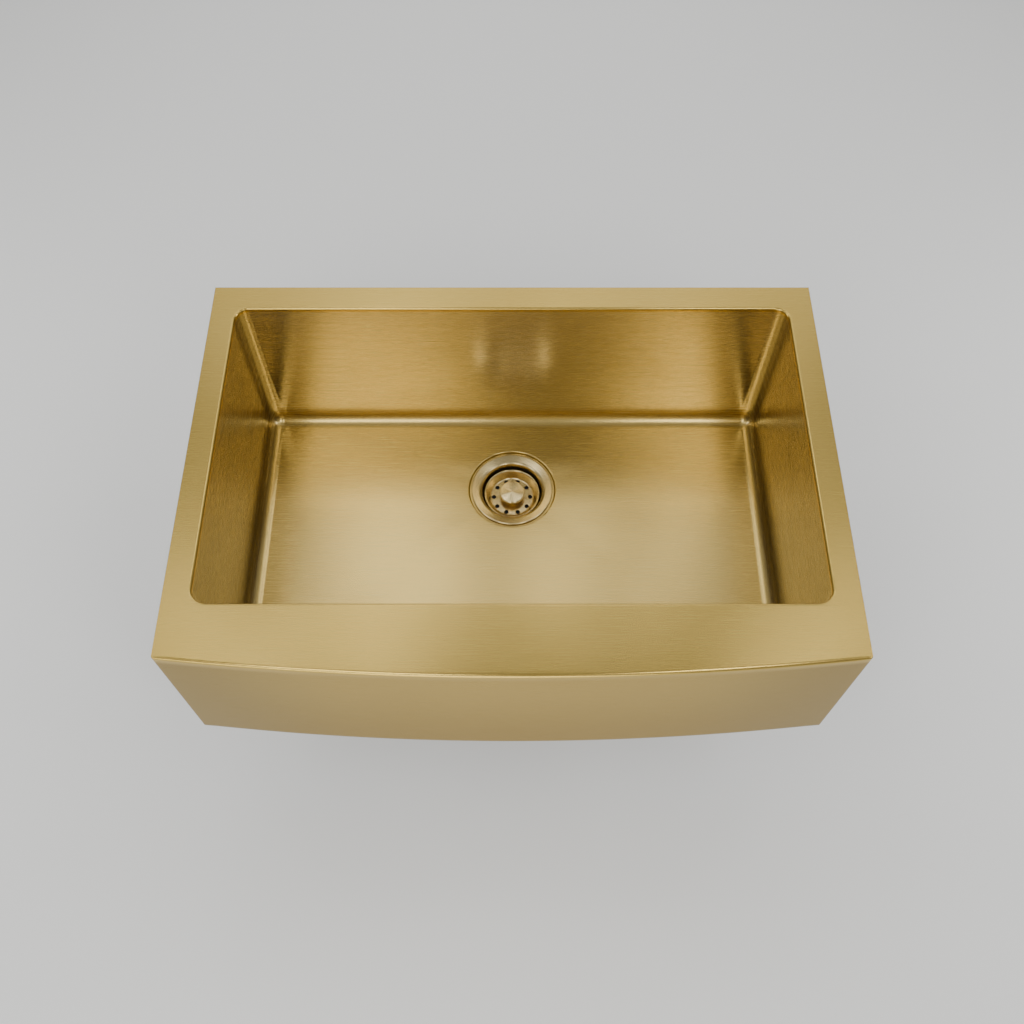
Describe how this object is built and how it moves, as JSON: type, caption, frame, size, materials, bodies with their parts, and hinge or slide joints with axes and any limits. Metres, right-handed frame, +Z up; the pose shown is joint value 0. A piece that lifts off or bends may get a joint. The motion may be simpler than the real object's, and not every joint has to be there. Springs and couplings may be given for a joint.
{
  "type": "apron-front kitchen sink",
  "caption": "Bowed apron-front undermount kitchen sink in brushed gold, with one deep bowl, a sloped floor and a lift-out basket strainer that opens and closes the drain.",
  "frame": {"origin": "middle of the bowl opening, on the underside of the rim, where the sink sits on its cabinet", "axes": "+X along the width to the right of someone at the sink, +Y away from them towards the wall, +Z up"},
  "size_m": [0.762, 0.5279, 0.438],
  "materials": {
    "gold_sheet": "fine brushed gold coating on stainless sheet",
    "gold_strainer": "satin gold coating on drawn stainless",
    "gold_knob": "gold coating, turned in circles",
    "plain_steel": "plain stainless, mill finish",
    "pad_rubber": "matt black sound pad",
    "black_rubber": "smooth black rubber",
    "seal_foam": "pale sealing foam",
    "fibre_ring": "smooth pale fibre",
    "zinc_nut": "die-cast, tumbled grey",
    "chrome_nut": "bright plating",
    "chrome_pipe": "bright plating",
    "white_washer": "moulded white plastic"
  },
  "bodies": {
    "sink": {"bowl": "gold_sheet", "rim_deck": "gold_sheet", "apron_front": "gold_sheet", "apron_tie_left": "plain_steel", "apron_tie_right": "plain_steel", "sound_pad_left": "pad_rubber", "sound_pad_right": "pad_rubber", "sound_pad_rear": "pad_rubber", "sound_pad_front": "pad_rubber", "sound_pad_floor_left": "pad_rubber", "sound_pad_floor_right": "pad_rubber", "strainer_cup": "gold_strainer", "flange_seal": "seal_foam", "outlet_spider": "plain_steel", "rubber_gasket": "black_rubber", "friction_ring": "fibre_ring", "locknut": "zinc_nut", "coupling_nut": "chrome_nut", "tailpiece_washer": "white_washer", "tailpiece": "chrome_pipe"},
    "clip": {"post_clip": "plain_steel"},
    "crumb_basket": {"basket": "gold_strainer", "basket_knob": "gold_knob", "basket_post": "plain_steel", "stopper_seal": "black_rubber", "stopper_washer": "plain_steel", "stopper_nut": "plain_steel"}
  },
  "joints": [
    {"name": "basket_lift", "type": "slide", "parent": "sink", "child": "clip", "axis": [0, 0, 1], "range_m": [-0.007, 0.33]},
    {"name": "basket_turn", "type": "hinge", "parent": "clip", "child": "crumb_basket", "pos_m": [0, 0.086, -0.256], "axis": [0, 0, 1], "continuous": true}
  ]
}
